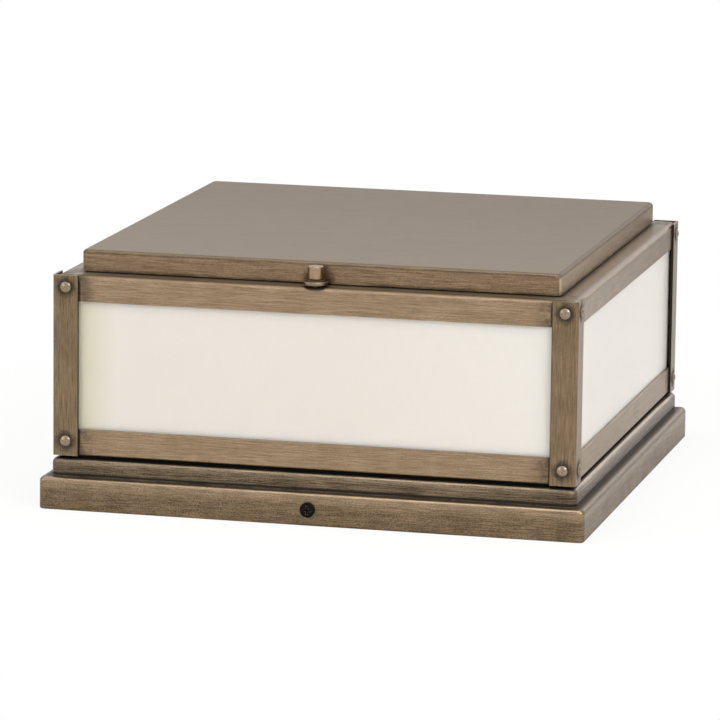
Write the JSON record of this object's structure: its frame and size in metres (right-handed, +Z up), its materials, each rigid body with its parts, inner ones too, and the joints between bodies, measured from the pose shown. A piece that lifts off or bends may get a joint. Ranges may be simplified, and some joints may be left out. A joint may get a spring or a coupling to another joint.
{
  "type": "pier mount lantern",
  "caption": "Low square pier mount lantern with opal glass sides, riveted corner posts, a hinged lid held by a thumb screw, and a stepped base on a mounting plate.",
  "frame": {"origin": "middle of the base's underside, on the top of the pier", "axes": "+Z up; the side with the thumb screw faces -Y and the lid's hinge is on the +Y side"},
  "size_m": [0.292, 0.2964, 0.1361],
  "materials": {
    "bronze": "burnished bronze, brushed, darker in the recesses",
    "steel": "zinc plated",
    "black_screw": "black oxide",
    "opal_glass": "etched opal, satin outside",
    "white_enamel": "white enamel",
    "gasket": "closed-cell rubber",
    "porcelain": "plain",
    "lamp_body": "moulded",
    "lamp_opal": "opal",
    "pin_brass": "bright",
    "terminal": "moulded",
    "lead_black": "insulated lead",
    "lead_white": "insulated lead",
    "ground_green": "green"
  },
  "bodies": {
    "base": {"base_skirt": "bronze", "base_step": "bronze", "bottom_frame": "bronze", "top_frame": "bronze", "corner_post_front_left": "bronze", "corner_post_front_right": "bronze", "corner_post_rear_right": "bronze", "corner_post_rear_left": "bronze", "post_rivets": "bronze", "hinge_leaf_frame": "bronze", "hinge_pin": "bronze", "hinge_rivets_frame": "bronze", "mounting_plate": "steel", "cage_screws": "steel", "cage_nuts": "steel", "wire_nipple": "steel", "nipple_nuts": "steel", "bracket_screws": "steel", "holder_screws": "steel", "glass_clips": "steel", "set_screws": "black_screw", "glass_front": "opal_glass", "glass_right": "opal_glass", "glass_rear": "opal_glass", "glass_left": "opal_glass", "reflector_tray": "white_enamel", "lamp_bracket": "white_enamel", "neck_gasket": "gasket", "lampholder_left": "porcelain", "lampholder_right": "porcelain", "terminal_block": "terminal", "leads_black": "lead_black", "leads_white": "lead_white", "ground_screw": "ground_green"},
    "lid": {"lid_pan": "bronze", "lid_gasket": "gasket", "latch_ear": "bronze", "hinge_leaf_lid": "bronze", "hinge_rivets_lid": "bronze"},
    "latch_washer": {"thumb_washer": "bronze"},
    "latch_screw": {"thumb_screw": "bronze"},
    "lamp_left": {"lamp_base_left": "lamp_body", "lamp_pins_left": "pin_brass", "lamp_globe_left": "lamp_opal"},
    "lamp_right": {"lamp_base_right": "lamp_body", "lamp_pins_right": "pin_brass", "lamp_globe_right": "lamp_opal"}
  },
  "joints": [
    {"name": "lid_hinge", "type": "hinge", "parent": "base", "child": "lid", "pos_m": [0, 0.131, 0.127], "axis": [-1, 0, 0], "range_deg": [0, 110]},
    {"name": "latch_lift", "type": "slide", "parent": "lid", "child": "latch_washer", "axis": [0, 0, 1], "range_m": [0, 0.0063]},
    {"name": "latch_turn", "type": "hinge", "parent": "latch_washer", "child": "latch_screw", "pos_m": [0, -0.134, 0.131], "axis": [0, 0, 1], "range_deg": [0, 3240]},
    {"name": "lamp_left_turn", "type": "hinge", "parent": "base", "child": "lamp_left", "pos_m": [-0.04, 0, 0.072], "axis": [-1, 0, 0], "range_deg": [0, 25]},
    {"name": "lamp_right_turn", "type": "hinge", "parent": "base", "child": "lamp_right", "pos_m": [0.04, 0, 0.072], "axis": [1, 0, 0], "range_deg": [0, 25]}
  ],
  "couplings": [
    {"joint": "latch_turn", "follows": "latch_lift", "rad_per_m": 8976}
  ]
}
